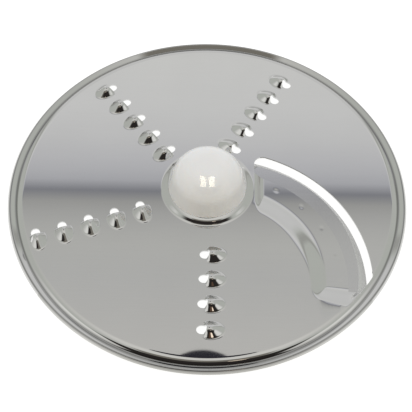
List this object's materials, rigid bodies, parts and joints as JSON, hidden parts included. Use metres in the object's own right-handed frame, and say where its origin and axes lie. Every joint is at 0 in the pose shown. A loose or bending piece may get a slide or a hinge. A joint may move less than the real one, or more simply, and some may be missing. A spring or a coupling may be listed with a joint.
{
  "type": "food processor disc",
  "caption": "Polished steel food processor disc with rows of raised grating teeth, a sunk crescent slicing blade beside a slot, and a white domed drive hub.",
  "frame": {"origin": "on the turning axis, at the foot of the hub, which the disc stands on", "axes": "+Z is the turning axis, out of the grating face; -Y is the side nearest the picture's camera"},
  "size_m": [0.176, 0.176, 0.0238],
  "materials": {
    "plate_steel": "mirror polished stainless sheet",
    "blade_steel": "satin stainless, edge ground",
    "hub_plastic": "semi-gloss white, faintly translucent"
  },
  "bodies": {
    "root": {"disc_plate": "plate_steel", "slicing_blade": "blade_steel", "drive_hub": "hub_plastic"}
  },
  "joints": []
}
